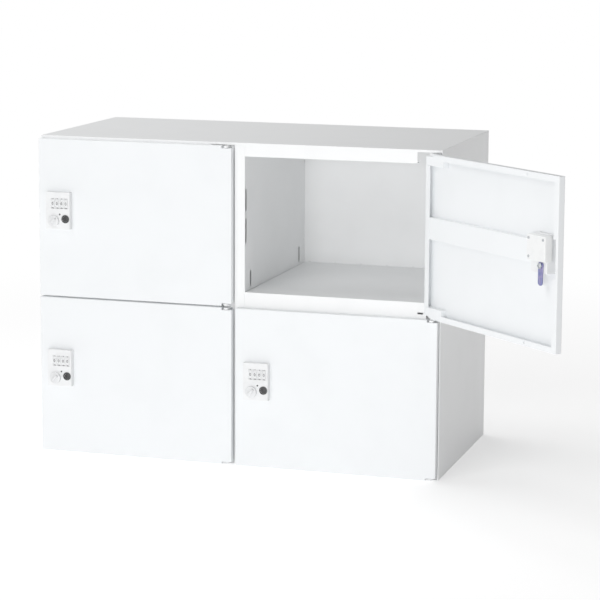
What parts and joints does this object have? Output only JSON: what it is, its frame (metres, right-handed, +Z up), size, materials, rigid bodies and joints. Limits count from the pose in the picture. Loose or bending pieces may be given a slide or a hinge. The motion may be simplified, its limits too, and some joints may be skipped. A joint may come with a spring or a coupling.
{
  "type": "parcel locker",
  "caption": "White steel parcel locker with doors on corner pivot hinges, each with a number-wheel lock and thumb turn, over shelved compartments.",
  "frame": {"origin": "middle of the cabinet's base, halfway through the 450 mm depth from the closed doors' faces to the back", "axes": "+X to the right as seen from the front, -Y towards the person who opens the doors, +Z up"},
  "size_m": [1.2098, 0.7365, 0.7],
  "materials": {
    "cabinet_paint": "white powder coat, satin",
    "hinge_paint": "white powder coat, satin",
    "door_paint": "white powder coat, satin",
    "lock_housing": "white moulded housing",
    "number_wheel": "light grey wheel with dark numbers",
    "bright_steel": "ground",
    "thumb_turn": "white moulded",
    "zinc_plate": "blue passivated zinc plate",
    "key_cylinder": "black"
  },
  "bodies": {
    "cabinet": {"left_side_panel": "cabinet_paint", "right_side_panel": "cabinet_paint", "top_panel": "cabinet_paint", "bottom_panel": "cabinet_paint", "back_panel": "cabinet_paint", "centre_partition": "cabinet_paint", "compartment_shelves": "cabinet_paint", "pivot_hinges": "hinge_paint"},
    "lower_left_door": {"lower_left_door_panel": "door_paint", "lower_left_door_stiffener": "door_paint", "lower_left_hinge_arms": "door_paint", "lower_left_lock_case": "lock_housing", "lower_left_lock_back_cover": "lock_housing", "lower_left_dial_axle": "bright_steel"},
    "lower_left_dial_1_wheel": {"lower_left_dial_1": "number_wheel"},
    "lower_left_dial_2_wheel": {"lower_left_dial_2": "number_wheel"},
    "lower_left_dial_3_wheel": {"lower_left_dial_3": "number_wheel"},
    "lower_left_dial_4_wheel": {"lower_left_dial_4": "number_wheel"},
    "lower_left_latch": {"lower_left_lock_knob": "thumb_turn", "lower_left_lock_cam": "zinc_plate"},
    "lower_left_key": {"lower_left_key_plug": "key_cylinder"},
    "lower_right_door": {"lower_right_door_panel": "door_paint", "lower_right_door_stiffener": "door_paint", "lower_right_hinge_arms": "door_paint", "lower_right_lock_case": "lock_housing", "lower_right_lock_back_cover": "lock_housing", "lower_right_dial_axle": "bright_steel"},
    "lower_right_dial_1_wheel": {"lower_right_dial_1": "number_wheel"},
    "lower_right_dial_2_wheel": {"lower_right_dial_2": "number_wheel"},
    "lower_right_dial_3_wheel": {"lower_right_dial_3": "number_wheel"},
    "lower_right_dial_4_wheel": {"lower_right_dial_4": "number_wheel"},
    "lower_right_latch": {"lower_right_lock_knob": "thumb_turn", "lower_right_lock_cam": "zinc_plate"},
    "lower_right_key": {"lower_right_key_plug": "key_cylinder"},
    "upper_left_door": {"upper_left_door_panel": "door_paint", "upper_left_door_stiffener": "door_paint", "upper_left_hinge_arms": "door_paint", "upper_left_lock_case": "lock_housing", "upper_left_lock_back_cover": "lock_housing", "upper_left_dial_axle": "bright_steel"},
    "upper_left_dial_1_wheel": {"upper_left_dial_1": "number_wheel"},
    "upper_left_dial_2_wheel": {"upper_left_dial_2": "number_wheel"},
    "upper_left_dial_3_wheel": {"upper_left_dial_3": "number_wheel"},
    "upper_left_dial_4_wheel": {"upper_left_dial_4": "number_wheel"},
    "upper_left_latch": {"upper_left_lock_knob": "thumb_turn", "upper_left_lock_cam": "zinc_plate"},
    "upper_left_key": {"upper_left_key_plug": "key_cylinder"},
    "upper_right_door": {"upper_right_door_panel": "door_paint", "upper_right_door_stiffener": "door_paint", "upper_right_hinge_arms": "door_paint", "upper_right_lock_case": "lock_housing", "upper_right_lock_back_cover": "lock_housing", "upper_right_dial_axle": "bright_steel"},
    "upper_right_dial_1_wheel": {"upper_right_dial_1": "number_wheel"},
    "upper_right_dial_2_wheel": {"upper_right_dial_2": "number_wheel"},
    "upper_right_dial_3_wheel": {"upper_right_dial_3": "number_wheel"},
    "upper_right_dial_4_wheel": {"upper_right_dial_4": "number_wheel"},
    "upper_right_latch": {"upper_right_lock_knob": "thumb_turn", "upper_right_lock_cam": "zinc_plate"},
    "upper_right_key": {"upper_right_key_plug": "key_cylinder"}
  },
  "joints": [
    {"name": "lower_left_door_hinge", "type": "hinge", "parent": "cabinet", "child": "lower_left_door", "pos_m": [-0.0193, -0.22, 0.0015], "axis": [0, 0, 1], "range_deg": [0, 140]},
    {"name": "lower_left_dial_1_turn", "type": "hinge", "parent": "lower_left_door", "child": "lower_left_dial_1_wheel", "pos_m": [-0.4109, -0.221, 0.2075], "axis": [1, 0, 0], "continuous": true},
    {"name": "lower_left_dial_2_turn", "type": "hinge", "parent": "lower_left_door", "child": "lower_left_dial_2_wheel", "pos_m": [-0.4007, -0.221, 0.2075], "axis": [1, 0, 0], "continuous": true},
    {"name": "lower_left_dial_3_turn", "type": "hinge", "parent": "lower_left_door", "child": "lower_left_dial_3_wheel", "pos_m": [-0.3905, -0.221, 0.2075], "axis": [1, 0, 0], "continuous": true},
    {"name": "lower_left_dial_4_turn", "type": "hinge", "parent": "lower_left_door", "child": "lower_left_dial_4_wheel", "pos_m": [-0.3803, -0.221, 0.2075], "axis": [1, 0, 0], "continuous": true},
    {"name": "lower_left_knob_turn", "type": "hinge", "parent": "lower_left_door", "child": "lower_left_latch", "pos_m": [-0.4088, -0.225, 0.1695], "axis": [0, 1, 0], "range_deg": [0, 90]},
    {"name": "lower_left_key_turn", "type": "hinge", "parent": "lower_left_door", "child": "lower_left_key", "pos_m": [-0.3818, -0.225, 0.174], "axis": [0, 1, 0], "range_deg": [0, 90]},
    {"name": "lower_right_door_hinge", "type": "hinge", "parent": "cabinet", "child": "lower_right_door", "pos_m": [0.4335, -0.22, 0.0015], "axis": [0, 0, 1], "range_deg": [0, 140]},
    {"name": "lower_right_dial_1_turn", "type": "hinge", "parent": "lower_right_door", "child": "lower_right_dial_1_wheel", "pos_m": [0.0419, -0.221, 0.2075], "axis": [1, 0, 0], "continuous": true},
    {"name": "lower_right_dial_2_turn", "type": "hinge", "parent": "lower_right_door", "child": "lower_right_dial_2_wheel", "pos_m": [0.0521, -0.221, 0.2075], "axis": [1, 0, 0], "continuous": true},
    {"name": "lower_right_dial_3_turn", "type": "hinge", "parent": "lower_right_door", "child": "lower_right_dial_3_wheel", "pos_m": [0.0623, -0.221, 0.2075], "axis": [1, 0, 0], "continuous": true},
    {"name": "lower_right_dial_4_turn", "type": "hinge", "parent": "lower_right_door", "child": "lower_right_dial_4_wheel", "pos_m": [0.0725, -0.221, 0.2075], "axis": [1, 0, 0], "continuous": true},
    {"name": "lower_right_knob_turn", "type": "hinge", "parent": "lower_right_door", "child": "lower_right_latch", "pos_m": [0.044, -0.225, 0.1695], "axis": [0, 1, 0], "range_deg": [0, 90]},
    {"name": "lower_right_key_turn", "type": "hinge", "parent": "lower_right_door", "child": "lower_right_key", "pos_m": [0.071, -0.225, 0.174], "axis": [0, 1, 0], "range_deg": [0, 90]},
    {"name": "upper_left_door_hinge", "type": "hinge", "parent": "cabinet", "child": "upper_left_door", "pos_m": [-0.0193, -0.22, 0.3495], "axis": [0, 0, 1], "range_deg": [0, 140]},
    {"name": "upper_left_dial_1_turn", "type": "hinge", "parent": "upper_left_door", "child": "upper_left_dial_1_wheel", "pos_m": [-0.4109, -0.221, 0.5555], "axis": [1, 0, 0], "continuous": true},
    {"name": "upper_left_dial_2_turn", "type": "hinge", "parent": "upper_left_door", "child": "upper_left_dial_2_wheel", "pos_m": [-0.4007, -0.221, 0.5555], "axis": [1, 0, 0], "continuous": true},
    {"name": "upper_left_dial_3_turn", "type": "hinge", "parent": "upper_left_door", "child": "upper_left_dial_3_wheel", "pos_m": [-0.3905, -0.221, 0.5555], "axis": [1, 0, 0], "continuous": true},
    {"name": "upper_left_dial_4_turn", "type": "hinge", "parent": "upper_left_door", "child": "upper_left_dial_4_wheel", "pos_m": [-0.3803, -0.221, 0.5555], "axis": [1, 0, 0], "continuous": true},
    {"name": "upper_left_knob_turn", "type": "hinge", "parent": "upper_left_door", "child": "upper_left_latch", "pos_m": [-0.4088, -0.225, 0.5175], "axis": [0, 1, 0], "range_deg": [0, 90]},
    {"name": "upper_left_key_turn", "type": "hinge", "parent": "upper_left_door", "child": "upper_left_key", "pos_m": [-0.3818, -0.225, 0.522], "axis": [0, 1, 0], "range_deg": [0, 90]},
    {"name": "upper_right_door_hinge", "type": "hinge", "parent": "cabinet", "child": "upper_right_door", "pos_m": [0.4335, -0.22, 0.3495], "axis": [0, 0, 1], "range_deg": [-138.7, 1.3]},
    {"name": "upper_right_dial_1_turn", "type": "hinge", "parent": "upper_right_door", "child": "upper_right_dial_1_wheel", "pos_m": [0.72835, -0.4777, 0.5555], "axis": [-0.7513, 0.66, 0], "continuous": true},
    {"name": "upper_right_dial_2_turn", "type": "hinge", "parent": "upper_right_door", "child": "upper_right_dial_2_wheel", "pos_m": [0.72069, -0.47097, 0.5555], "axis": [-0.7513, 0.66, 0], "continuous": true},
    {"name": "upper_right_dial_3_turn", "type": "hinge", "parent": "upper_right_door", "child": "upper_right_dial_3_wheel", "pos_m": [0.71303, -0.46424, 0.5555], "axis": [-0.7513, 0.66, 0], "continuous": true},
    {"name": "upper_right_dial_4_turn", "type": "hinge", "parent": "upper_right_door", "child": "upper_right_dial_4_wheel", "pos_m": [0.70537, -0.45751, 0.5555], "axis": [-0.7513, 0.66, 0], "continuous": true},
    {"name": "upper_right_knob_turn", "type": "hinge", "parent": "upper_right_door", "child": "upper_right_latch", "pos_m": [0.72942, -0.47331, 0.5175], "axis": [-0.66, -0.7513, 0], "range_deg": [0, 90]},
    {"name": "upper_right_key_turn", "type": "hinge", "parent": "upper_right_door", "child": "upper_right_key", "pos_m": [0.70913, -0.45549, 0.522], "axis": [-0.66, -0.7513, 0], "range_deg": [0, 90]}
  ]
}
